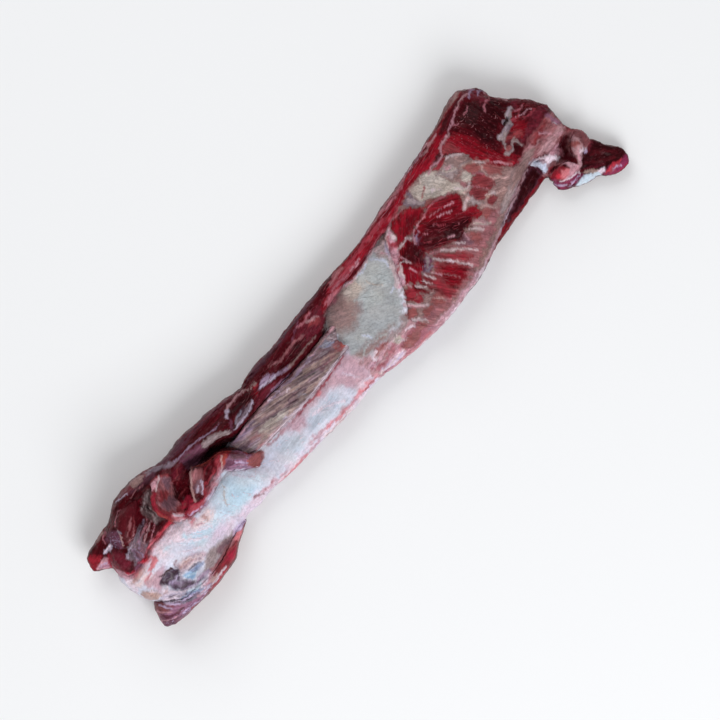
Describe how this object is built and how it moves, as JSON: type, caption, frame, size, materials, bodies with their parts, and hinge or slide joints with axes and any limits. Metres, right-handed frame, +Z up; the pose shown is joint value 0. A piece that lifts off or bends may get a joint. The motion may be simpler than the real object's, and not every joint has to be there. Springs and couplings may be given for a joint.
{
  "type": "raw beef rib bone",
  "caption": "Raw beef rib bone with a bare pale shaft, a strip of dark meat along one side, a loose silverskin flap and a thick cap of meat with a hanging scrap at the cut end.",
  "frame": {"origin": "centre of the overall box at the level of the surface that the rib lies on", "axes": "+X along the bone from the knuckle to the cut end, +Y towards the side that carries the long strip of meat, +Z up"},
  "size_m": [0.3614, 0.1226, 0.0396],
  "materials": {
    "bone": "fresh wet bone under thin skin, pale blue-white to pink, with red streaks along its edges",
    "meat": "raw wet beef, dark red to maroon, with fine white marbling, pale fat and grey-white skin",
    "silverskin": "damp silverskin, grey-brown with slanted darker streaks and a thin white rim",
    "knuckle_meat": "thin red-brown muscle under pink-white and purple skin"
  },
  "bodies": {
    "root": {"rib_bone": "bone", "rib_meat": "meat", "silverskin_flap": "silverskin", "knuckle_meat": "knuckle_meat"}
  },
  "joints": []
}
